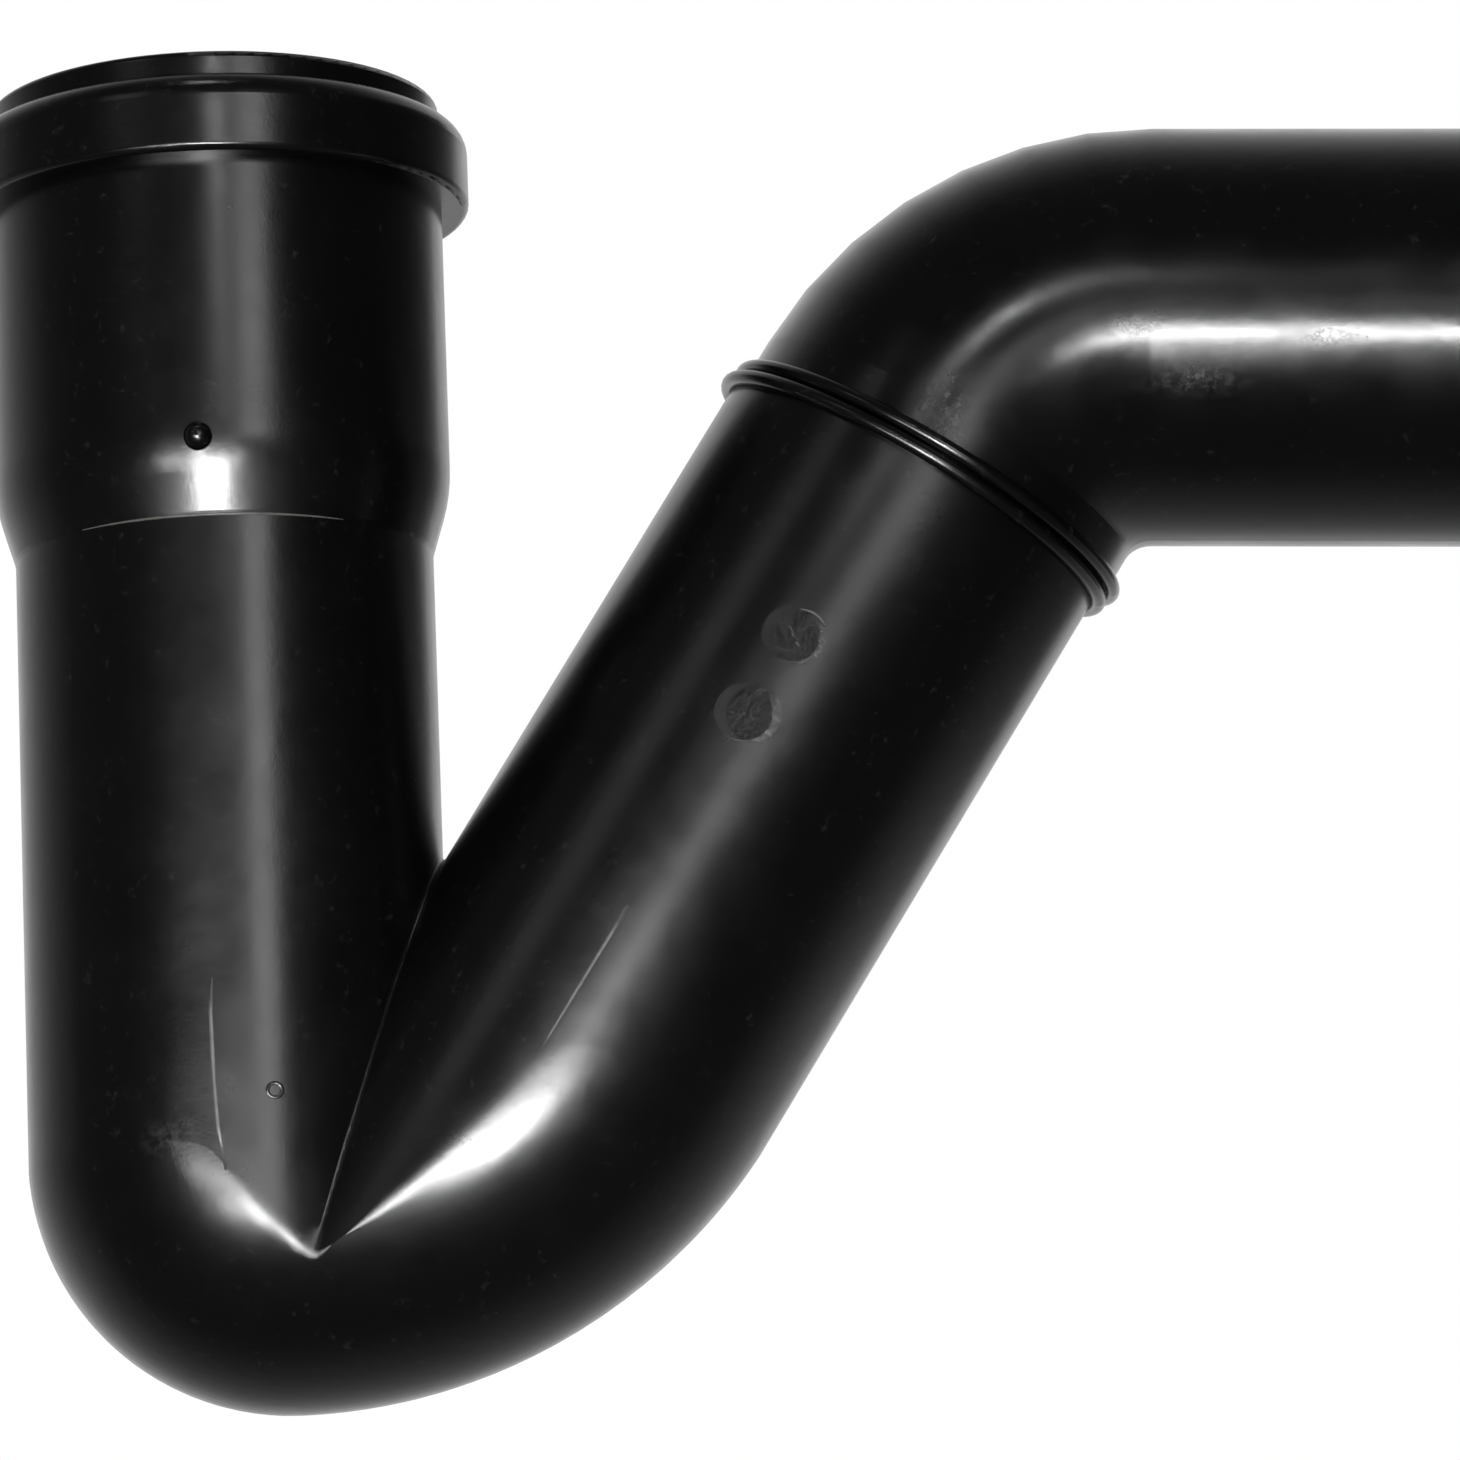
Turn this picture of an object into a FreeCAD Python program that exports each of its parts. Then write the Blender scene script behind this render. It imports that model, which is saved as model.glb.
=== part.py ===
import FreeCAD, Part
import math
import os
import Sketcher
from FreeCAD import Placement, Rotation, Vector

# Floor drain trap: a V-shaped P-trap of black polypropylene for 50 mm drain pipe.
# The origin is the centre of the inlet socket's stop face. +Z points out of the socket mouth,
# +X points towards the outlet, and the trap lies in the XZ plane. Lengths are in mm.

# Driving sizes, one cell each
sizes = {
    "pipe_od": 50.0,
    "pipe_wall": 2.2,
    "socket_bore": 50.4,
    "socket_wall": 2.1,
    "socket_depth": 48.2,
    "mouth_chamfer": 0.8,
    "stop_step": 1.2,
    "taper_length": 7.6,
    "taper_shoulder": 20.0,
    "taper_foot": 1.8,
    "taper_skirt": 3.0,
    "lip_step": 0.1,
    "lip_height": 3.1,
    "lip_round": 0.8,
    "collar_height": 10.0,
    "collar_wall": 2.4,
    "collar_round": 0.9,
    "shoulder_round": 3.2,
    "groove_inset": 4.8,
    "groove_depth": 3.0,
    "groove_height": 6.4,
    "seal_play": 0.1,
    "seal_web": 1.3,
    "seal_lip_drop": 3.0,
    "seal_lip_edge": 0.8,
    "gate_radius": 1.7,
    "gate_height": 1.1,
    "inlet_drop": 79.5,
    "heel_radius": 31.2,
    "sweep_radius": 67.6,
    "bend_swell": 0.05,
    "crease_round": 0.45,
    "rise_angle": 33.0,
    "rise_length": 75.9,
    "stamp_diameter": 6.8,
    "stamp_rise": 0.06,
    "stamp_core": 4.2,
    "core_rise": 0.1,
    "pointer_length": 2.6,
    "pointer_width": 0.45,
    "pointer_rise": 0.15,
    "stamp_offset": 27.3,
    "stamp_spacing": 10.8,
    "roll_width": 1.8,
    "roll_bite": 0.25,
    "roll_gap": 0.1,
    "weld_offset": 0.8,
    "elbow_lead": 5.5,
    "elbow_radius": 28.3,
    "outlet_fall": 3.0,
    "outlet_length": 65.0,
    "spigot_chamfer_length": 4.0,
    "spigot_chamfer_depth": 1.0,
    "overrun": 1.0,
}

doc = FreeCAD.newDocument("floor_drain_trap")
sheet = doc.addObject("Spreadsheet::Sheet", "Sizes")
for row, (alias, value) in enumerate(sizes.items(), start=1):
    sheet.set(f"A{row}", alias)
    sheet.set(f"B{row}", str(value))
    sheet.setAlias(f"B{row}", alias)
doc.recompute()

# Sizes worked out from the cells, as expressions
pipeRadius = "(Sizes.pipe_od / 2)"
boreRadius = "(Sizes.pipe_od / 2 - Sizes.pipe_wall)"
socketBoreRadius = "(Sizes.socket_bore / 2)"
socketRadius = f"({socketBoreRadius} + Sizes.socket_wall)"
grooveRadius = f"({socketBoreRadius} + Sizes.groove_depth)"
collarRadius = f"({grooveRadius} + Sizes.collar_wall)"
lipRadius = f"({socketRadius} - Sizes.lip_step)"
mouthRadius = f"({socketBoreRadius} + Sizes.mouth_chamfer)"
stopRadius = f"({socketBoreRadius} - Sizes.stop_step)"
mouthZ = "Sizes.socket_depth"
shoulderZ = f"({mouthZ} - Sizes.lip_height)"
collarZ = f"({shoulderZ} - Sizes.collar_height)"
grooveTopZ = f"({mouthZ} - Sizes.groove_inset)"
grooveLowZ = f"({grooveTopZ} - Sizes.groove_height)"
collarStep = f"({collarRadius} - {socketRadius})"

riseAngle = "(Sizes.rise_angle * 1 deg)"
turnAngle = "(90 + Sizes.outlet_fall - Sizes.rise_angle)"
heelX = f"(Sizes.heel_radius - {pipeRadius})"
heelZ = "(-Sizes.inlet_drop)"
sweepZ = f"({heelZ} - Sizes.heel_radius + Sizes.sweep_radius)"
sweepAxis = f"(Sizes.sweep_radius - {pipeRadius})"
weldX = f"({heelX} + {sweepAxis} * cos({riseAngle}) + Sizes.rise_length * sin({riseAngle}))"
weldZ = f"({sweepZ} - {sweepAxis} * sin({riseAngle}) + Sizes.rise_length * cos({riseAngle}))"
legReach = "(Sizes.rise_length + Sizes.sweep_radius)"
room = "(Sizes.inlet_drop + Sizes.rise_length + Sizes.sweep_radius)"
stampFace = f"({pipeRadius} + Sizes.stamp_rise)"
coreFace = f"({stampFace} + Sizes.core_rise)"
rollRadius = "(Sizes.roll_width / 2)"
rollCentre = f"({rollRadius} + Sizes.roll_gap / 2)"
rollRing = f"({pipeRadius} - Sizes.roll_bite + {rollRadius})"

aboutX = Vector(1, 0, 0)
aboutY = Vector(0, 1, 0)


def value(expression):
    return float(sheet.evalExpression(expression))


def bind(item, **expressions):
    for path, expression in expressions.items():
        item.setExpression(path.replace("_", "."), expression)
    return item


def place(item, x="0", y="0", z="0", angle="0"):
    item.Placement = Placement(Vector(0, 0, 0), Rotation(aboutY, 1))
    bind(item, Placement_Base_x=x, Placement_Base_y=y, Placement_Base_z=z)
    return bind(item, Placement_Rotation_Angle=angle)


def originPlane(body, role):
    return next(plane for plane in body.Origin.OriginFeatures if plane.Role == role)


def planeSketch(body, name, role):
    sketch = body.newObject("Sketcher::SketchObject", name)
    sketch.AttachmentSupport = [(originPlane(body, role), "")]
    sketch.MapMode = "FlatFace"
    return sketch


def drawOutline(sketch, points):
    # closed outline of straight lines, each corner held at a distance from the sketch's origin
    corners = [Vector(value(x), value(y), 0) for x, y in points]
    for start, end in zip(corners, corners[1:] + corners[:1]):
        sketch.addGeometry(Part.LineSegment(start, end))
    for index in range(len(points)):
        following = (index + 1) % len(points)
        sketch.addConstraint(Sketcher.Constraint("Coincident", index, 2, following, 1))
    for index, (x, y) in enumerate(points):
        for kind, distance in (("DistanceX", x), ("DistanceY", y)):
            held = Sketcher.Constraint(kind, -1, 1, index, 1, value(distance))
            row = sketch.addConstraint(held)
            sketch.setExpression(f"Constraints[{row}]", distance)


def turnedBody(label, points):
    # solid of revolution about Z, from an outline of radius and height
    body = doc.addObject("PartDesign::Body", label)
    sketch = planeSketch(body, f"{label}_outline", "XZ_Plane")
    drawOutline(sketch, points)
    doc.recompute()
    turned = body.newObject("PartDesign::Revolution", f"{label}_turned")
    turned.Profile = sketch
    turned.ReferenceAxis = (sketch, ["V_Axis"])
    turned.Angle = 360.0
    doc.recompute()
    return body


def circleEdges(shape, radius, centre):
    # names of the edges that lie on a circle of one radius about one point
    names = []
    for index, edge in enumerate(shape.Edges, start=1):
        points = edge.discretize(4)
        if all(abs((point - centre).Length - radius) < 1e-3 for point in points):
            names.append(f"Edge{index}")
    return names


def roundCircle(body, name, radius, height, size):
    base = body.Tip
    edges = circleEdges(base.Shape, value(radius), Vector(0, 0, value(height)))
    rounded = body.newObject("PartDesign::Fillet", name)
    rounded.Base = (base, edges)
    rounded.setExpression("Radius", size)
    doc.recompute()


def join(kind, name, members):
    joined = doc.addObject(kind, name)
    joined.Shapes = members
    return joined


# Bottom of the trap: two straight legs that meet at a crease, held within a rounded heel


def heelDrum(name, tubeRadius, reach, x, z, startAngle, turn):
    # sector of a drum whose rim is rounded over its full width, about a line along Y
    sketch = doc.addObject("Sketcher::SketchObject", f"{name}_outline")
    width = value(reach)
    radius = value(tubeRadius)
    corners = [Vector(0, -radius), Vector(0, radius), Vector(-width, radius), Vector(-width, -radius)]
    sketch.addGeometry(Part.LineSegment(corners[0], corners[1]))
    sketch.addGeometry(Part.LineSegment(corners[1], corners[2]))
    rimCircle = Part.Circle(Vector(-width, 0), Vector(0, 0, 1), radius)
    sketch.addGeometry(Part.ArcOfCircle(rimCircle, math.radians(90), math.radians(270)))
    sketch.addGeometry(Part.LineSegment(corners[3], corners[0]))
    sketch.addConstraint(Sketcher.Constraint("Coincident", 0, 2, 1, 1))
    sketch.addConstraint(Sketcher.Constraint("Tangent", 1, 2, 2, 1))
    sketch.addConstraint(Sketcher.Constraint("Tangent", 2, 2, 3, 1))
    sketch.addConstraint(Sketcher.Constraint("Coincident", 3, 2, 0, 1))
    sketch.addConstraint(Sketcher.Constraint("PointOnObject", 0, 1, -2))
    sketch.addConstraint(Sketcher.Constraint("PointOnObject", 0, 2, -2))
    sketch.addConstraint(Sketcher.Constraint("Horizontal", 1))
    sketch.addConstraint(Sketcher.Constraint("PointOnObject", 2, 3, -1))
    rim = sketch.addConstraint(Sketcher.Constraint("Radius", 2, radius))
    sketch.setExpression(f"Constraints[{rim}]", tubeRadius)
    spread = sketch.addConstraint(Sketcher.Constraint("DistanceX", 2, 3, -1, 1, width))
    sketch.setExpression(f"Constraints[{spread}]", reach)
    place(sketch, x=x, z=z, angle=startAngle)
    drum = doc.addObject("Part::Revolution", name)
    drum.Source = sketch
    drum.Axis = aboutY
    drum.Solid = True
    bind(drum, Base_x=x, Base_z=z, Angle=turn)
    return drum


def heelRoom(name, tubeRadius):
    # everything that the legs may fill: all above the bend, and the rounded heel below it
    above = place(doc.addObject("Part::Box", f"{name}_inlet_room"), x=f"-{room}", y=f"-{room}", z=heelZ)
    bind(above, Length=f"{room} + {heelX}", Width=f"2 * {room}", Height=f"2 * {room}")
    beyondX = f"{heelX} - {room} * cos({riseAngle})"
    beyondZ = f"{sweepZ} + {room} * sin({riseAngle})"
    beyond = doc.addObject("Part::Box", f"{name}_rising_room")
    place(beyond, x=beyondX, y=f"-{room}", z=beyondZ, angle="Sizes.rise_angle")
    bind(beyond, Length=f"2 * {room}", Width=f"2 * {room}", Height=f"2 * {room}")
    fullRadius = f"({tubeRadius} + Sizes.bend_swell)"
    heel = heelDrum(f"{name}_heel", fullRadius, heelX, heelX, heelZ, "0", "-90")
    sweepTurn = "-(90 - Sizes.rise_angle)"
    sweep = heelDrum(f"{name}_sweep", fullRadius, sweepAxis, heelX, sweepZ, "-90", sweepTurn)
    return join("Part::MultiFuse", f"{name}_room", [above, beyond, heel, sweep])


def addDisc(body, name, diameter, face, height):
    # round boss that points along -Y, out to a flat face at one distance from the leg's axis
    disc = body.newObject("PartDesign::AdditiveCylinder", name)
    disc.Placement = Placement(Vector(0, 0, 0), Rotation(aboutX, 90))
    bind(disc, Radius=f"{diameter} / 2", Height=face, Placement_Base_z=height)
    doc.recompute()


def addPointer(body, name, height, turn):
    # bar across the middle of a stamp's core
    pointer = place(body.newObject("PartDesign::AdditiveWedge", name), y=f"-{coreFace}", z=height, angle=turn)
    halfWidth = "Sizes.pointer_width / 2"
    halfLength = "Sizes.pointer_length / 2"
    bind(pointer, Xmin=f"-{halfWidth}", X2min=f"-{halfWidth}", Xmax=halfWidth, X2max=halfWidth)
    bind(pointer, Zmin=f"-{halfLength}", Z2min=f"-{halfLength}", Zmax=halfLength, Z2max=halfLength)
    bind(pointer, Ymin="-Sizes.pointer_rise", Ymax="Sizes.overrun")
    doc.recompute()


def addStamps(body):
    # two round insert marks on the front of the leg: a flat disc, a raised core and a pointer
    upper = "-Sizes.stamp_offset"
    lower = "-(Sizes.stamp_offset + Sizes.stamp_spacing)"
    for name, height, turn in (("upper_stamp", upper, "-60"), ("lower_stamp", lower, "15")):
        addDisc(body, f"{name}_face", "Sizes.stamp_diameter", stampFace, height)
        addDisc(body, f"{name}_core", "Sizes.stamp_core", coreFace, height)
        addPointer(body, f"{name}_pointer", height, turn)


def risingLeg():
    # the leg with its stamps and its roll of the weld, upright in its own frame, the weld face at height 0
    body = doc.addObject("PartDesign::Body", "outer_rising_leg")
    tube = body.newObject("PartDesign::AdditiveCylinder", "rising_tube")
    bind(tube, Radius=pipeRadius, Height=legReach, Placement_Base_z=f"-{legReach}")
    doc.recompute()
    roll = body.newObject("PartDesign::AdditiveTorus", "leg_roll")
    bind(roll, Radius1=rollRing, Radius2=rollRadius, Placement_Base_z=f"-{rollCentre}")
    doc.recompute()
    addStamps(body)
    return place(body, x=weldX, z=weldZ, angle="Sizes.rise_angle")


def risingBore():
    startX = f"{weldX} - {legReach} * sin({riseAngle})"
    startZ = f"{weldZ} - {legReach} * cos({riseAngle})"
    bore = doc.addObject("Part::Cylinder", "inner_rising_leg")
    place(bore, x=startX, z=startZ, angle="Sizes.rise_angle")
    return bind(bore, Radius=boreRadius, Height=f"{legReach} + Sizes.overrun")


def trapLegs(name, tubeRadius, rising):
    inletLength = "(Sizes.inlet_drop + 2 * Sizes.heel_radius)"
    inlet = place(doc.addObject("Part::Cylinder", f"{name}_inlet_leg"), z=f"-{inletLength}")
    bind(inlet, Radius=tubeRadius, Height=inletLength)
    legs = join("Part::MultiFuse", f"{name}_legs", [inlet, rising])
    return join("Part::MultiCommon", f"{name}_bend", [legs, heelRoom(name, tubeRadius)])


def isTubeWall(surface):
    return isinstance(surface, Part.Cylinder) and abs(surface.Radius - value(pipeRadius)) < 1e-3


def creaseEdges(shape):
    # names of the edges between two tube walls whose axes differ
    names = []
    for index, edge in enumerate(shape.Edges, start=1):
        walls = [face.Surface for face in shape.ancestorsOfType(edge, Part.Face)]
        if len(walls) == 2 and all(isTubeWall(wall) for wall in walls):
            if walls[0].Axis.cross(walls[1].Axis).Length > 0.01:
                names.append(f"Edge{index}")
    return names


def roundCrease(legs):
    # the valley between the two legs, with the small radius that a mould leaves there
    doc.recompute()
    body = doc.addObject("PartDesign::Body", "rounded_bend")
    body.BaseFeature = legs
    doc.recompute()
    base = body.Tip
    rounded = body.newObject("PartDesign::Fillet", "crease_fillet")
    rounded.Base = (base, creaseEdges(base.Shape))
    rounded.setExpression("Radius", "Sizes.crease_round")
    doc.recompute()
    return body


# Push-fit socket: the outside with its collar and lip, and the bore with its seal groove


def socketOutside():
    outline = [
        ("0", mouthZ),
        (lipRadius, mouthZ),
        (lipRadius, shoulderZ),
        (collarRadius, shoulderZ),
        (collarRadius, collarZ),
        (socketRadius, collarZ),
        (socketRadius, "0"),
        (pipeRadius, "-Sizes.taper_length"),
        (pipeRadius, "-(Sizes.taper_length + Sizes.taper_skirt)"),
        ("0", "-(Sizes.taper_length + Sizes.taper_skirt)"),
    ]
    body = turnedBody("socket_outside", outline)
    underRound = f"min(Sizes.collar_round; 0.95 * {collarStep})"
    topRound = f"min(Sizes.shoulder_round; 0.95 * ({collarStep} + Sizes.lip_step))"
    roundCircle(body, "collar_underside", collarRadius, collarZ, underRound)
    roundCircle(body, "collar_shoulder", collarRadius, shoulderZ, topRound)
    roundCircle(body, "lip_edge", lipRadius, mouthZ, "Sizes.lip_round")
    roundCircle(body, "taper_top", socketRadius, "0", "Sizes.taper_shoulder")
    roundCircle(body, "taper_end", pipeRadius, "-Sizes.taper_length", "Sizes.taper_foot")
    return body


def socketInside():
    return turnedBody("socket_inside", [
        ("0", f"{mouthZ} + Sizes.overrun"),
        (mouthRadius, f"{mouthZ} + Sizes.overrun"),
        (mouthRadius, mouthZ),
        (socketBoreRadius, f"{mouthZ} - 2 * Sizes.mouth_chamfer"),
        (socketBoreRadius, grooveTopZ),
        (grooveRadius, grooveTopZ),
        (grooveRadius, grooveLowZ),
        (socketBoreRadius, grooveLowZ),
        (socketBoreRadius, "0"),
        (stopRadius, "0"),
        (boreRadius, "-Sizes.taper_length"),
        ("0", "-Sizes.taper_length"),
    ])


# Trap body: socket, legs and gate mark


def trapBody():
    gate = doc.addObject("Part::Sphere", "gate_mark")
    gate.Placement = Placement(Vector(0, 0, 0), Rotation(aboutX, 90))
    bind(gate, Radius="Sizes.gate_radius")
    bind(gate, Placement_Base_y=f"-{socketRadius}", Placement_Base_z="Sizes.gate_height")
    outerLegs = roundCrease(trapLegs("outer", pipeRadius, risingLeg()))
    outside = join("Part::MultiFuse", "trap_outside", [outerLegs, socketOutside(), gate])
    innerLegs = trapLegs("inner", boreRadius, risingBore())
    inside = join("Part::MultiFuse", "trap_inside", [innerLegs, socketInside()])
    body = doc.addObject("Part::Cut", "trap_body")
    body.Base = outside
    body.Tool = inside
    return body


# Outlet elbow: a tube swept along a short lead, the turn and the outlet, with its roll of the weld


def elbowPath(body):
    # the arc runs anticlockwise, from the outlet's end of the turn to the lead's
    sketch = planeSketch(body, "elbow_path", "XZ_Plane")
    lead = value("Sizes.elbow_lead")
    radius = value("Sizes.elbow_radius")
    length = value("Sizes.outlet_length")
    turn = math.radians(value(turnAngle))
    leadEnd = Vector(0, lead)
    centre = Vector(radius, lead)
    bendEnd = centre + Vector(-math.cos(turn), math.sin(turn)) * radius
    tubeEnd = bendEnd + Vector(math.sin(turn), math.cos(turn)) * length
    bendCircle = Part.Circle(centre, Vector(0, 0, 1), radius)
    sketch.addGeometry(Part.LineSegment(Vector(0, 0), leadEnd))
    sketch.addGeometry(Part.ArcOfCircle(bendCircle, math.pi - turn, math.pi))
    sketch.addGeometry(Part.LineSegment(bendEnd, tubeEnd))
    sketch.addConstraint(Sketcher.Constraint("Coincident", 0, 1, -1, 1))
    sketch.addConstraint(Sketcher.Constraint("Vertical", 0))
    sketch.addConstraint(Sketcher.Constraint("Tangent", 0, 2, 1, 2))
    sketch.addConstraint(Sketcher.Constraint("Tangent", 1, 1, 2, 1))
    leadRow = sketch.addConstraint(Sketcher.Constraint("DistanceY", -1, 1, 0, 2, lead))
    radiusRow = sketch.addConstraint(Sketcher.Constraint("Radius", 1, radius))
    lengthRow = sketch.addConstraint(Sketcher.Constraint("Distance", 2, length))
    turnRow = sketch.addConstraint(Sketcher.Constraint("Angle", 2, math.pi / 2 - turn))
    sketch.setExpression(f"Constraints[{leadRow}]", "Sizes.elbow_lead")
    sketch.setExpression(f"Constraints[{radiusRow}]", "Sizes.elbow_radius")
    sketch.setExpression(f"Constraints[{lengthRow}]", "Sizes.outlet_length")
    sketch.setExpression(f"Constraints[{turnRow}]", f"(90 - {turnAngle}) * 1 deg")
    return sketch


def outletElbow():
    body = doc.addObject("PartDesign::Body", "outlet_elbow")
    path = elbowPath(body)
    section = planeSketch(body, "elbow_section", "XY_Plane")
    for radius in (pipeRadius, boreRadius):
        circle = section.addGeometry(Part.Circle(Vector(0, 0, 0), Vector(0, 0, 1), value(radius)))
        section.addConstraint(Sketcher.Constraint("Coincident", circle, 3, -1, 1))
        row = section.addConstraint(Sketcher.Constraint("Radius", circle, value(radius)))
        section.setExpression(f"Constraints[{row}]", radius)
    doc.recompute()
    tube = body.newObject("PartDesign::AdditivePipe", "elbow_tube")
    tube.Profile = section
    tube.Spine = (path, ["Edge1", "Edge2", "Edge3"])
    doc.recompute()
    roll = body.newObject("PartDesign::AdditiveTorus", "elbow_roll")
    bind(roll, Radius1=rollRing, Radius2=rollRadius, Placement_Base_z=rollCentre)
    doc.recompute()
    chamfer = body.newObject("PartDesign::Chamfer", "spigot_chamfer")
    outletEnd = path.Geometry[2].EndPoint
    chamfer.Base = (roll, circleEdges(roll.Shape, value(pipeRadius), Vector(outletEnd.x, 0, outletEnd.y)))
    chamfer.ChamferType = "Two distances"
    chamfer.FlipDirection = False
    bind(chamfer, Size="Sizes.spigot_chamfer_length", Size2="Sizes.spigot_chamfer_depth")
    doc.recompute()
    place(body, x=f"{weldX} + Sizes.weld_offset * cos({riseAngle})",
          z=f"{weldZ} - Sizes.weld_offset * sin({riseAngle})", angle="Sizes.rise_angle")
    return body


# Lip seal: a rubber ring that sits on the groove's lower face, drawn as it bears on a pipe


def lipSeal():
    outerRadius = f"{grooveRadius} - Sizes.seal_play"
    webRadius = f"{outerRadius} - Sizes.seal_web"
    topZ = f"{grooveTopZ} - Sizes.seal_play"
    tipTopZ = f"{topZ} - Sizes.seal_lip_drop"
    tipLowZ = f"{tipTopZ} - Sizes.seal_lip_edge"
    return turnedBody("lip_seal", [
        (outerRadius, grooveLowZ),
        (outerRadius, topZ),
        (f"{socketBoreRadius} + Sizes.seal_play", topZ),
        (pipeRadius, tipTopZ),
        (pipeRadius, tipLowZ),
        (f"{pipeRadius} + Sizes.seal_lip_edge", tipLowZ),
        (webRadius, f"{topZ} - Sizes.seal_web"),
        (webRadius, grooveLowZ),
    ])


nodes = [trapBody(), outletElbow(), lipSeal()]
doc.recompute()

for item in doc.Objects:
    if "Invalid" in item.State or "Error" in item.State:
        raise RuntimeError(f"{item.Label} did not build: {item.State}")
for node in nodes:
    if node.Shape.isNull() or not node.Shape.isValid() or len(node.Shape.Solids) != 1:
        raise RuntimeError(f"{node.Label} is not one valid solid")

os.makedirs("parts", exist_ok=True)
for node in nodes:
    node.Shape.exportStep(f"parts/{node.Label}.step")
    print(node.Label, "volume", round(node.Shape.Volume, 1), "mm3")
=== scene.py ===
import math

import bmesh
import bpy
from mathutils import Matrix, Vector


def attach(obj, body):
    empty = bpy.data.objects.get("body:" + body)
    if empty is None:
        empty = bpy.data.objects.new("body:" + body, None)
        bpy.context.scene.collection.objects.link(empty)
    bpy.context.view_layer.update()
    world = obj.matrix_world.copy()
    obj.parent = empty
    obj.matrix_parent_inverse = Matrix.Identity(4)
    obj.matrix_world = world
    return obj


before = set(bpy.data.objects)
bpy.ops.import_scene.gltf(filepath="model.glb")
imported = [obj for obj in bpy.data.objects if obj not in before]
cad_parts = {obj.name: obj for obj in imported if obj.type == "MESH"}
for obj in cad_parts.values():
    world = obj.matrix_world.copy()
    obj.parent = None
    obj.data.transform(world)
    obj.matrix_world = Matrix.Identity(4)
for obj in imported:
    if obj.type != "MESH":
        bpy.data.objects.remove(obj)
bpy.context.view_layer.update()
mm = 0.001


def linear(hexColour):
    channels = [int(hexColour[i:i + 2], 16) / 255 for i in (1, 3, 5)]
    levels = [c / 12.92 if c <= 0.04045 else ((c + 0.055) / 1.055) ** 2.4 for c in channels]
    return tuple(levels) + (1.0,)


# adds one node, sets its properties, ramp stops and sockets, and links sockets given as
# (node, output); a socket that shares its name is given by its number, such as _6
def addNode(tree, kind, settings=None, stops=(), **sockets):
    node = tree.nodes.new(kind)
    for name, value in (settings or {}).items():
        setattr(node, name, value)
    if stops:
        elements = node.color_ramp.elements
        while len(elements) < len(stops):
            elements.new(0.5)
        for element, (position, level) in zip(elements, stops):
            element.position = position
            element.color = (level, level, level, 1.0)
    for name, value in sockets.items():
        number = name[1:]
        socket = node.inputs[int(number) if number.isdigit() else name.replace("_", " ")]
        if isinstance(value, tuple) and isinstance(value[0], bpy.types.Node):
            tree.links.new(value[0].outputs[value[1]], socket)
        else:
            socket.default_value = value
    return node


def newMaterial(name):
    material = bpy.data.materials.new(name)
    material.use_nodes = True
    material.node_tree.nodes.clear()
    return material


# Black polypropylene, injection moulded: satin skin that waves a little, with fine grain, cloudy
# flow marks, light scuffs all over and rubbed patches where it was handled
mouldingFinish = {
    "black": "#060606",
    "worn": "#2c2c2b",
    "rubbed": "#484846",
    "rubbedRoughness": 0.36,
    "castRoughness": 0.15,      # in the stamp marks
    "ior": 1.49,
    "patterns": {               # sizes in mm
        # skin grain, drawn about twice as coarse as the real one so that it shows
        "grain": {"size": 0.35, "detail": 3.0, "roughness": 0.5},
        # slow waviness of the skin, which breaks the edges of the reflections
        "wave": {"size": 3.0, "detail": 2.0, "roughness": 0.5},
        "flow": {"size": 9.0, "detail": 5.0, "roughness": 0.62},
        "scuff": {"size": 1.6, "detail": 6.0, "roughness": 0.7},
        "rub": {"size": 1.1, "detail": 5.0, "roughness": 0.65},
    },
    "scuffStops": [(0.60, 0.0), (0.80, 1.0)],
    "rubStops": [(0.40, 0.0), (0.75, 0.9)],
    "flowRange": (0.3, 0.7),
    "grainDepth": 0.008 * mm,
    "waveDepth": 0.02 * mm,
    "castDepth": 0.10 * mm,
    "ridgeEdge": 0.35,          # share of a ridge's reach in which the easing fades out
    "stampEdge": (0.1, 0.2),
}
trapFinish = {
    "roughness": (0.225, 0.28),
    "rubs": [
        {"at": (-5.5, -24.4, -81.5), "reach": (5.0, 3.0, 2.8)},
    ],
    "softRidges": [
        {"at": (28.5, -24.7, -82.0), "reach": (19.0, 8.0, 5.5), "turn": -35.7, "radius": 3.0},
        {"at": (4.8, -24.3, -91.3), "reach": (9.0, 6.0, 4.5), "turn": 33.2, "radius": 3.0},
    ],
    "stamps": [
        {"at": (69.3, -25.2, -26.0), "reach": (3.9, 3.9, 3.9)},
        {"at": (63.9, -25.2, -34.9), "reach": (3.9, 3.9, 3.9)},
    ],
}
elbowFinish = {
    "roughness": (0.18, 0.26),
    "rubs": [
        {"at": (87.5, -24.8, 0.5), "reach": (5.0, 3.0, 6.5)},
        {"at": (117.0, -22.4, 3.2), "reach": (8.0, 3.0, 2.6)},
        {"at": (110.0, -24.4, 9.5), "reach": (6.0, 3.0, 2.0)},
        {"at": (133.0, -24.2, 7.0), "reach": (7.0, 3.0, 1.8)},
    ],
    "softRidges": [],
    "stamps": [],
}


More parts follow.
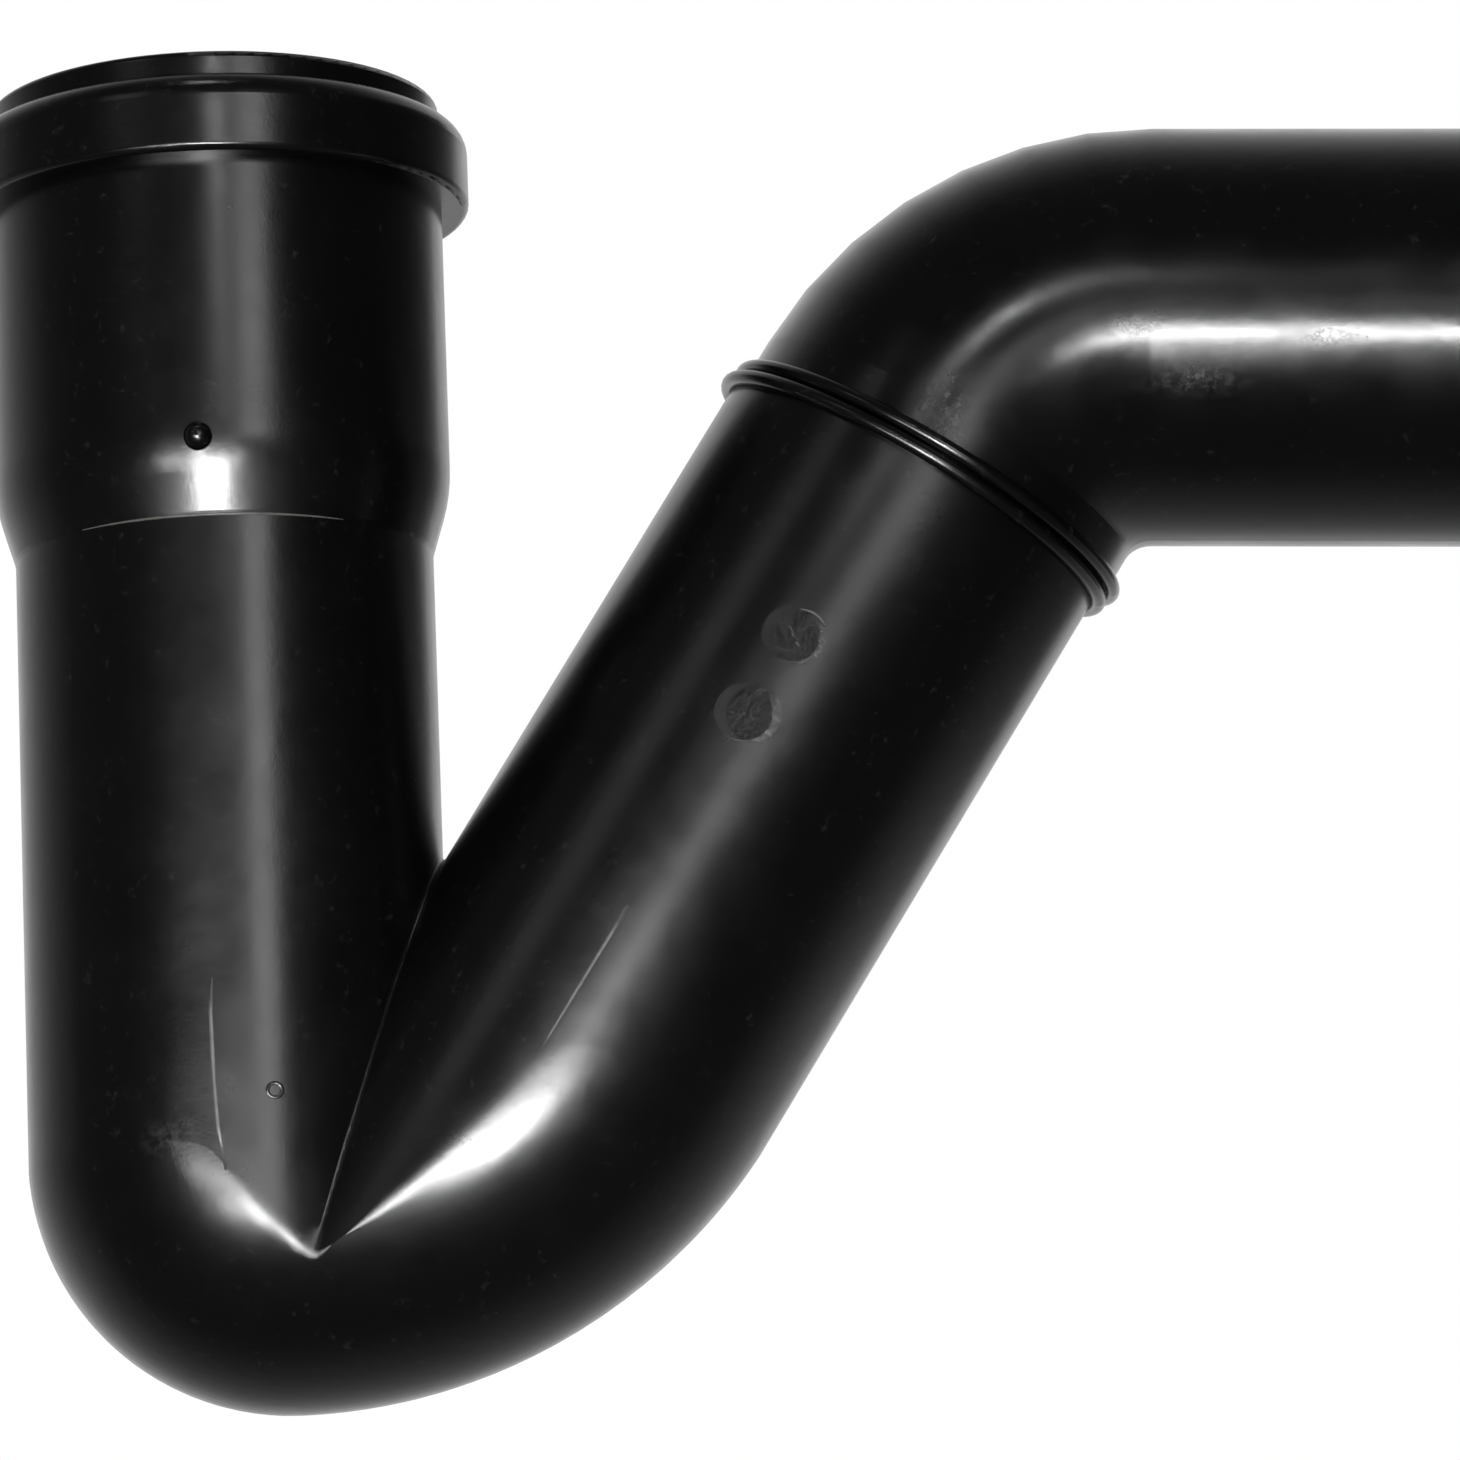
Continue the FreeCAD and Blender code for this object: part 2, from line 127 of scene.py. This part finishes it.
def mouldedPolypropylene(name, pieceFinish):
    finish = mouldingFinish
    material = newMaterial(name)
    tree = material.node_tree
    place = addNode(tree, "ShaderNodeTexCoord")
    noise = {}
    for patternName, pattern in finish["patterns"].items():
        noise[patternName] = addNode(
            tree, "ShaderNodeTexNoise", Vector=(place, "Object"), Scale=1 / (pattern["size"] * mm),
            Detail=pattern["detail"], Roughness=pattern["roughness"])
    # round masks, 1 in the middle and 0 at their reach
    masks = {"rubs": [], "softRidges": [], "stamps": []}
    for kind, balls in masks.items():
        for patch in pieceFinish[kind]:
            local = addNode(
                tree, "ShaderNodeMapping", {"vector_type": "TEXTURE"}, Vector=(place, "Object"),
                Location=Vector(patch["at"]) * mm, Scale=Vector(patch["reach"]) * mm,
                Rotation=(0.0, math.radians(patch.get("turn", 0.0)), 0.0))
            balls.append(addNode(tree, "ShaderNodeTexGradient", {"gradient_type": "SPHERICAL"},
                                 Vector=(local, "Vector")))

    scuffSpots = addNode(tree, "ShaderNodeValToRGB", stops=finish["scuffStops"],
                         Fac=(noise["scuff"], "Fac"))
    rubSpots = addNode(tree, "ShaderNodeValToRGB", stops=finish["rubStops"],
                       Fac=(noise["rub"], "Fac"))
    colour = addNode(tree, "ShaderNodeMix", {"data_type": "RGBA"}, _0=(scuffSpots, "Color"),
                     _6=linear(finish["black"]), _7=linear(finish["worn"]))
    flowLow, flowHigh = finish["flowRange"]
    low, high = pieceFinish["roughness"]
    rough = addNode(tree, "ShaderNodeMapRange", Value=(noise["flow"], "Fac"), From_Min=flowLow,
                    From_Max=flowHigh, To_Min=low, To_Max=high)
    for ball in masks["rubs"]:
        amount = addNode(tree, "ShaderNodeMath", {"operation": "MULTIPLY", "use_clamp": True},
                         _0=(ball, "Fac"), _1=(rubSpots, "Color"))
        colour = addNode(tree, "ShaderNodeMix", {"data_type": "RGBA"}, _0=(amount, 0),
                         _6=(colour, 2), _7=linear(finish["rubbed"]))
        rough = addNode(tree, "ShaderNodeMix", {"data_type": "FLOAT"}, _0=(amount, 0),
                        _2=(rough, 0), _3=finish["rubbedRoughness"])

    # the moulding runs softly from one leg into the other, so the ridges inside the bend are eased
    easing = None
    for ridge, ball in zip(pieceFinish["softRidges"], masks["softRidges"]):
        radius = addNode(tree, "ShaderNodeMapRange", Value=(ball, "Fac"),
                         From_Max=finish["ridgeEdge"], To_Max=ridge["radius"] * mm)
        if easing is not None:
            radius = addNode(tree, "ShaderNodeMath", {"operation": "MAXIMUM"}, _0=(easing, 0),
                             _1=(radius, 0))
        easing = radius
    under = {}
    if easing is not None:
        eased = addNode(tree, "ShaderNodeBevel", {"samples": 8}, Radius=(easing, 0))
        under["Normal"] = (eased, "Normal")
    relief = addNode(tree, "ShaderNodeBump", Height=(noise["wave"], "Fac"), Strength=1.0,
                     Distance=finish["waveDepth"], **under)

    # the faces of the stamp marks are rough cast
    edgeLow, edgeHigh = finish["stampEdge"]
    for ball in masks["stamps"]:
        amount = addNode(tree, "ShaderNodeMapRange", Value=(ball, "Fac"), From_Min=edgeLow,
                         From_Max=edgeHigh)
        relief = addNode(tree, "ShaderNodeBump", Height=(noise["rub"], "Fac"),
                         Strength=(amount, 0), Distance=finish["castDepth"],
                         Normal=(relief, "Normal"))
        rough = addNode(tree, "ShaderNodeMix", {"data_type": "FLOAT"}, _0=(amount, 0),
                        _2=(rough, 0), _3=finish["castRoughness"])
    relief = addNode(tree, "ShaderNodeBump", Height=(noise["grain"], "Fac"), Strength=1.0,
                     Distance=finish["grainDepth"], Normal=(relief, "Normal"))
    skin = addNode(tree, "ShaderNodeBsdfPrincipled", Base_Color=(colour, 2), Roughness=(rough, 0),
                   IOR=finish["ior"], Normal=(relief, "Normal"))
    addNode(tree, "ShaderNodeOutputMaterial", Surface=(skin, "BSDF"))
    return material


# EPDM rubber, compression moulded: matt, slightly greyer than the plastic, with a dusty bloom
rubberFinish = {
    "black": "#141414",
    "bloom": "#232322",
    "cloud": 4 * mm,
    "depth": 0.05 * mm,
    "strength": 0.15,
    "roughness": 0.72,
    "ior": 1.5,
}


def mouldedRubber():
    finish = rubberFinish
    material = newMaterial("rubberMoulded")
    tree = material.node_tree
    place = addNode(tree, "ShaderNodeTexCoord")
    bloom = addNode(tree, "ShaderNodeTexNoise", Vector=(place, "Object"),
                    Scale=1 / finish["cloud"], Detail=6.0)
    colour = addNode(tree, "ShaderNodeMix", {"data_type": "RGBA"}, _0=(bloom, "Fac"),
                     _6=linear(finish["black"]), _7=linear(finish["bloom"]))
    bump = addNode(tree, "ShaderNodeBump", Height=(bloom, "Fac"), Strength=finish["strength"],
                   Distance=finish["depth"])
    skin = addNode(tree, "ShaderNodeBsdfPrincipled", Base_Color=(colour, 2),
                   Roughness=finish["roughness"], IOR=finish["ior"], Normal=(bump, "Normal"))
    addNode(tree, "ShaderNodeOutputMaterial", Surface=(skin, "BSDF"))
    return material


def coat(nodeName, material):
    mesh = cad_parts[nodeName].data
    mesh.materials.clear()
    mesh.materials.append(material)


trapPlastic = mouldedPolypropylene("polypropyleneMoulded", trapFinish)
coat("trap_body", trapPlastic)
coat("outlet_elbow", mouldedPolypropylene("polypropyleneMouldedGlossier", elbowFinish))
coat("lip_seal", mouldedRubber())
print("materials on", sorted(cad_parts))


def addObject(name, data):
    newObject = bpy.data.objects.new(name, data)
    bpy.context.scene.collection.objects.link(newObject)
    return newObject


def addShape(name, shape, material):
    mesh = bpy.data.meshes.new(name)
    shape.to_mesh(mesh)
    shape.free()
    mesh.materials.append(material)
    return addObject(name, mesh)


def addPiece(name, shape, material):
    bmesh.ops.recalc_face_normals(shape, faces=shape.faces)
    piece = addShape(name, shape, material)
    piece.data.shade_smooth()
    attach(piece, "root")


# Polypropylene squeezed into the mould's parting line: stress-whitened and matt, and painted paler
# still as the highlight that thin ridges and edges catch
seamWhiteningAndHighlightFinish = {"dull": "#3c3c3a", "white": "#787874", "spot": 1.2 * mm, "roughness": 0.42}


def whitenedAndHighlightPolypropylene():
    finish = seamWhiteningAndHighlightFinish
    material = newMaterial("polypropyleneSeamWhitenedAndHighlight")
    tree = material.node_tree
    place = addNode(tree, "ShaderNodeTexCoord")
    spots = addNode(tree, "ShaderNodeTexNoise", Vector=(place, "Object"),
                    Scale=1 / finish["spot"], Detail=4.0)
    # the pale spots are partly stress whitening and partly painted highlight
    colour = addNode(tree, "ShaderNodeMix", {"data_type": "RGBA"}, _0=(spots, "Fac"),
                     _6=linear(finish["dull"]), _7=linear(finish["white"]))
    skin = addNode(tree, "ShaderNodeBsdfPrincipled", Base_Color=(colour, 2),
                   Roughness=finish["roughness"], IOR=mouldingFinish["ior"])
    addNode(tree, "ShaderNodeOutputMaterial", Surface=(skin, "BSDF"))
    return material


seamAndHighlightPlastic = whitenedAndHighlightPolypropylene()


def ringEdges(ring):
    return list(dict.fromkeys(edge for vert in ring["verts"] for edge in vert.link_edges))


def joinRings(shape, rings):
    for first, second in zip(rings, rings[1:]):
        bmesh.ops.bridge_loops(shape, edges=first + second)
    bmesh.ops.holes_fill(shape, edges=rings[0] + rings[-1], sides=0)


# Mould seams: thin flat ridges along the front of both legs, of which only the rounded crest
# shows, and a pointer of the same kind on the upper stamp mark; lengths in mm
# All of them are drawn in the pale seam plastic: stress whitening in part, and in part a painted
# highlight along the crest
seamRidge = {"legRadius": 25.0, "sides": 32}
seams = {
    "risingSeamAndHighlight": {
        "rise": 0.20,           # height of the crest, as a share of the width
        "lift": 0.0,            # height of the surface that it stands on
        "roundInlet": False,    # follows the curve of the inlet leg
        "points": [
            {"x": 48.3, "z": -56.8, "width": 0.50}, {"x": 46.5, "z": -59.6, "width": 0.48},
            {"x": 42.9, "z": -65.1, "width": 0.40}, {"x": 39.2, "z": -70.8, "width": 0.28},
            {"x": 37.5, "z": -73.4, "width": 0.10},
        ],
    },
    "inletSeamAndHighlight": {
        "rise": 0.12,
        "lift": 0.0,
        "roundInlet": True,
        "points": [
            {"x": -0.2, "z": -63.0, "width": 0.15}, {"x": -0.5, "z": -67.0, "width": 0.45},
            {"x": -0.4, "z": -71.5, "width": 0.50}, {"x": -0.3, "z": -75.5, "width": 0.45},
            {"x": 0.0, "z": -80.5, "width": 0.50}, {"x": 0.8, "z": -85.6, "width": 0.30},
        ],
    },
    "stampPointerAndHighlight": {
        "rise": 0.30,
        "lift": 0.20,
        "roundInlet": False,
        "points": [
            {"x": 68.2, "z": -24.8, "width": 0.30}, {"x": 68.6, "z": -25.7, "width": 0.40},
            {"x": 69.3, "z": -27.2, "width": 0.20},
        ],
    },
}


def addSeam(name, seam):
    ridge = bmesh.new()
    first, last = seam["points"][0], seam["points"][-1]
    along = Vector((last["x"] - first["x"], 0.0, last["z"] - first["z"]))
    turn = along.to_track_quat("Z", "Y").to_matrix().to_4x4()
    rings = []
    for point in seam["points"]:
        crest = seam["rise"] * point["width"]
        radius = (point["width"] ** 2 / 4 + crest ** 2) / (2 * crest)
        across = point["x"] if seam["roundInlet"] else 0.0
        surface = math.sqrt(seamRidge["legRadius"] ** 2 - across ** 2) + seam["lift"]
        centre = Vector((point["x"], -(surface + crest - radius), point["z"])) * mm
        ring = bmesh.ops.create_circle(ridge, segments=seamRidge["sides"], radius=radius * mm,
                                       matrix=Matrix.Translation(centre) @ turn)
        rings.append(ringEdges(ring))
    joinRings(ridge, rings)
    addPiece(name, ridge, seamAndHighlightPlastic)


for seamName, seam in seams.items():
    addSeam(seamName, seam)

# Thin wires part of the way round, thinner towards their closed ends: one at the foot of the
# taper, one on the upper stamp mark. Angles run from zero about the axis; lengths in mm
# Both wires are painted highlights in the pale seam plastic: the lit edge at the taper's foot and the
# lit rim of the stamp mark
arcs = {
    "footEdgeHighlight": {
        "at": (0.0, 0.0, -7.8), "axis": (0.0, 0.0, 1.0), "zero": (0.0, -1.0, 0.0),
        "radius": 24.93, "from": -36.0, "to": 40.0, "steps": 48,
        "wire": 0.20, "thin": 0.4, "sides": 12,
    },
    "stampRimHighlight": {
        "at": (69.3, -25.06, -26.0), "axis": (0.0, -1.0, 0.0), "zero": (1.0, 0.0, 0.0),
        "radius": 3.3, "from": 20.0, "to": 85.0, "steps": 16,
        "wire": 0.14, "thin": 0.4, "sides": 12,
    },
}


def addArc(name, arc):
    wire = bmesh.new()
    axis = Vector(arc["axis"])
    rings = []
    for step in range(arc["steps"] + 1):
        share = step / arc["steps"]
        angle = math.radians(arc["from"] + (arc["to"] - arc["from"]) * share)
        outward = Matrix.Rotation(angle, 3, axis) @ Vector(arc["zero"])
        turn = axis.cross(outward).to_track_quat("Z", "Y").to_matrix().to_4x4()
        centre = (Vector(arc["at"]) + outward * arc["radius"]) * mm
        radius = arc["wire"] * (arc["thin"] + (1 - arc["thin"]) * math.sin(math.pi * share))
        ring = bmesh.ops.create_circle(wire, segments=arc["sides"], radius=radius * mm,
                                       matrix=Matrix.Translation(centre) @ turn)
        rings.append(ringEdges(ring))
    joinRings(wire, rings)
    addPiece(name, wire, seamAndHighlightPlastic)


for arcName, arc in arcs.items():
    addArc(arcName, arc)

# Knock-out mark: a small flat ring on the inlet leg, sunk into it; lengths in mm
knockMark = {
    "at": (6.64, -24.1, -76.4),
    "ringRadius": 0.85,
    "wireRadius": 0.35,
    "sink": 0.28,
    "steps": 40,
    "sides": 16,
}


def addKnockMark():
    ring = bmesh.new()
    at = Vector(knockMark["at"])
    outward = Vector((at.x, at.y, 0.0)).normalized()
    upright = Matrix.Rotation(math.pi / 2, 4, "X")
    section = bmesh.ops.create_circle(
        ring, segments=knockMark["sides"], radius=knockMark["wireRadius"] * mm,
        matrix=Matrix.Translation((knockMark["ringRadius"] * mm, 0.0, 0.0)) @ upright)
    bmesh.ops.spin(ring, geom=section["verts"] + ringEdges(section), cent=(0.0, 0.0, 0.0),
                   axis=(0.0, 0.0, 1.0), dvec=(0.0, 0.0, 0.0), angle=2 * math.pi,
                   steps=knockMark["steps"], use_merge=True)
    centre = (at - outward * knockMark["sink"]) * mm
    turn = outward.to_track_quat("Z", "Y").to_matrix().to_4x4()
    bmesh.ops.transform(ring, matrix=Matrix.Translation(centre) @ turn, verts=ring.verts)
    addPiece("knockMark", ring, trapPlastic)


addKnockMark()
print("added", len(seams), "seams,", len(arcs), "arcs and a knock-out mark")

# Camera, at the photograph's viewing angle
view = {
    "azimuth": -2.522,
    "elevation": -12.362,
    "roll": -2.232,
    "distance": 1.050,
    "focal": 8822.5,            # in pixels of the photograph's frame
    "frame": 1460,
    "target": (0.05977, 0.0, -0.03119),
}


def addCamera():
    azimuth, elevation, roll = (math.radians(view[name])
                                for name in ("azimuth", "elevation", "roll"))
    forward = Vector((math.sin(azimuth) * math.cos(elevation),
                      math.cos(azimuth) * math.cos(elevation), -math.sin(elevation)))
    right = Vector((math.cos(azimuth), -math.sin(azimuth), 0.0))
    up = right.cross(forward)
    rolledRight = right * math.cos(roll) + up * math.sin(roll)
    rolledUp = up * math.cos(roll) - right * math.sin(roll)
    data = bpy.data.cameras.new("photoCamera")
    data.sensor_fit = "HORIZONTAL"
    data.lens = view["focal"] / view["frame"] * data.sensor_width
    camera = addObject("photoCamera", data)
    turn = Matrix((rolledRight, rolledUp, -forward)).transposed().to_4x4()
    spot = Vector(view["target"]) - forward * view["distance"]
    camera.matrix_world = Matrix.Translation(spot) @ turn
    bpy.context.scene.camera = camera


addCamera()
print("camera", view["distance"], "m away")

# Studio: a pale floor, a white surround, cards that only reflections see, and soft lamps
studio = {
    "floorHeight": -0.42,
    "floorSize": 6.0,
    "floorColour": "#e9e9e7",
    "floorRoughness": 0.8,
    "ambient": 0.9,
}
cards = {
    # glow of the cards' front ends; the fades below are their painted reflection levels
    "cardGlow": 0.004,
    "front": -1.5,
    "back": 1.6,
    "sides": {                  # where each card stands, and how it pales to the back (y, brightness)
        "left": {"at": -0.89, "fade": [(0.0, 0.08), (0.40, 0.35), (0.86, 0.66), (1.60, 0.85)]},
        "right": {"at": 1.01, "fade": [(0.2, 0.02), (0.73, 0.06), (1.20, 0.18), (1.60, 0.40)]},
        "top": {"at": 0.79, "fade": [(-0.05, 0.06), (0.17, 0.20), (0.49, 0.56), (1.00, 0.96)]},
        "bottom": {"at": -0.41, "fade": [(0.0, 0.07), (0.22, 0.26), (0.46, 0.42), (1.00, 0.72)]},
    },
}
lamps = {                       # spread is the full angle of a lamp's beam, in degrees
    "upper": {"at": (0.585, -1.40, 0.32), "aim": (0.02, 0.0, -0.02),
              "size": (0.35, 0.50), "watts": 3.0, "spread": 180},
    "shoulder": {"at": (0.29, -1.40, 0.13), "aim": (0.0, 0.0, -0.07),
                 "size": (0.22, 0.10), "watts": 0.20, "spread": 180},
    "collar": {"at": (0.061, -0.52, 0.20), "aim": (0.0, 0.0, 0.04),
               "size": (0.012, 0.04), "watts": 0.13, "spread": 180},
    "gate": {"at": (0.0, -0.21, 0.50), "aim": (0.0, -0.028, 0.0),
             "size": (0.03, 0.03), "watts": 0.0010, "spread": 16},
    "bar": {"at": (-0.05, -0.52, -0.10), "aim": (0.0, 0.0, 0.0),
            "size": (0.38, 0.04), "watts": 1.4, "spread": 180},
    "middle": {"at": (0.145, -0.52, -0.097), "aim": (0.15, -0.02, 0.0),
               "size": (0.13, 0.028), "watts": 0.021, "spread": 24},
    "stem": {"at": (0.0, -0.52, -0.17), "aim": (-0.02, -0.026, -0.005),
             "size": (0.12, 0.06), "watts": 0.26, "spread": 50},
    "low": {"at": (-0.036, -0.20, -0.132), "aim": (0.003, -0.025, -0.09),
            "size": (0.05, 0.022), "watts": 0.008, "spread": 50},
    "patch": {"at": (0.065, -0.20, -0.122), "aim": (0.031, -0.025, -0.082),
              "size": (0.02, 0.03), "watts": 0.026, "spread": 50},
    "left": {"at": (-0.375, -0.55, 0.36), "aim": (0.05, 0.0, -0.03),
             "size": (0.20, 0.20), "watts": 0.10, "spread": 180},
}


def addLamp(name, lamp):
    data = bpy.data.lights.new(name, "AREA")
    data.shape = "RECTANGLE"
    data.size, data.size_y = lamp["size"]
    data.energy = lamp["watts"]
    data.spread = math.radians(lamp["spread"])
    lampObject = addObject(name, data)
    aim = Vector(lamp["aim"]) - Vector(lamp["at"])
    turn = aim.to_track_quat("-Z", "Y").to_matrix().to_4x4()
    lampObject.matrix_world = Matrix.Translation(lamp["at"]) @ turn
    lampObject.visible_camera = False
    lampObject.visible_diffuse = False      # for the gloss only: the surround lights the colours


# Emulsion paint, rolled: flat and pale, so the floor stays quiet under the part
def addFloor():
    shape = bmesh.new()
    bmesh.ops.create_grid(shape, x_segments=1, y_segments=1, size=studio["floorSize"] / 2)
    bmesh.ops.translate(shape, verts=shape.verts, vec=(0.0, 0.0, studio["floorHeight"]))
    paint = newMaterial("floorPaintRolled")
    tree = paint.node_tree
    skin = addNode(tree, "ShaderNodeBsdfPrincipled", Base_Color=linear(studio["floorColour"]),
                   Roughness=studio["floorRoughness"])
    addNode(tree, "ShaderNodeOutputMaterial", Surface=(skin, "BSDF"))
    floor = addShape("floor", shape, paint)


# Glowing sheets that only reflections see, a painted reflection: black at the front and paler towards
# the back, it gives the gloss its dark and light edges
def addCard(name, corners, fade):
    shape = bmesh.new()
    shape.faces.new([shape.verts.new(corner) for corner in corners])
    cardGlow = newMaterial(f"{name}ReflectionGlow")
    cardGlow.cycles.emission_sampling = "NONE"
    tree = cardGlow.node_tree
    place = addNode(tree, "ShaderNodeTexCoord")
    axes = addNode(tree, "ShaderNodeSeparateXYZ", Vector=(place, "Object"))
    along = addNode(tree, "ShaderNodeMapRange", Value=(axes, "Y"), From_Min=cards["front"],
                    From_Max=cards["back"])
    depth = cards["back"] - cards["front"]
    stops = [((y - cards["front"]) / depth, level) for y, level in fade]
    levels = addNode(tree, "ShaderNodeValToRGB", stops=stops, Fac=(along, "Result"))
    glow = addNode(tree, "ShaderNodeEmission", Color=(levels, "Color"), Strength=1.0)
    addNode(tree, "ShaderNodeOutputMaterial", Surface=(glow, "Emission"))
    card = addShape(name, shape, cardGlow)
    card.visible_camera = False
    card.visible_diffuse = False
    card.visible_shadow = False
    card.visible_transmission = False


def addCards():
    sides = cards["sides"]
    left, right, top, bottom = (sides[name]["at"] for name in ("left", "right", "top", "bottom"))
    front, back, cardGlow = cards["front"], cards["back"], cards["cardGlow"]
    for name, across in (("left", left), ("right", right)):
        corners = [(across, front, bottom), (across, back, bottom),
                   (across, back, top), (across, front, top)]
        addCard(f"{name}Card", corners, [(front, cardGlow)] + sides[name]["fade"])
    for name, height in (("top", top), ("bottom", bottom)):
        corners = [(left, front, height), (right, front, height),
                   (right, back, height), (left, back, height)]
        addCard(f"{name}Card", corners, [(front, cardGlow)] + sides[name]["fade"])
    corners = [(left, front, bottom), (right, front, bottom),
               (right, front, top), (left, front, top)]
    addCard("frontCard", corners, [(front, cardGlow), (back, cardGlow)])


def addSurround():
    world = bpy.data.worlds.new("whiteSurround")
    bpy.context.scene.world = world
    world.use_nodes = True
    tree = world.node_tree
    tree.nodes.clear()
    path = addNode(tree, "ShaderNodeLightPath")
    seen = addNode(tree, "ShaderNodeMath", {"operation": "MAXIMUM"}, _0=(path, "Is Camera Ray"),
                   _1=(path, "Is Glossy Ray"))
    seenThrough = addNode(tree, "ShaderNodeMath", {"operation": "MAXIMUM"}, _0=(seen, 0),
                          _1=(path, "Is Transmission Ray"))
    strength = addNode(tree, "ShaderNodeMapRange", Value=(seenThrough, 0),
                       To_Min=studio["ambient"], To_Max=1.0)
    surround = addNode(tree, "ShaderNodeBackground", Color=(1.0, 1.0, 1.0, 1.0),
                       Strength=(strength, "Result"))
    addNode(tree, "ShaderNodeOutputWorld", Surface=(surround, "Background"))


addFloor()
addCards()
addSurround()
for lampName, lamp in lamps.items():
    addLamp(f"{lampName}Lamp", lamp)
bpy.context.scene.view_settings.view_transform = "Standard"
print("studio with", len(lamps), "lamps")
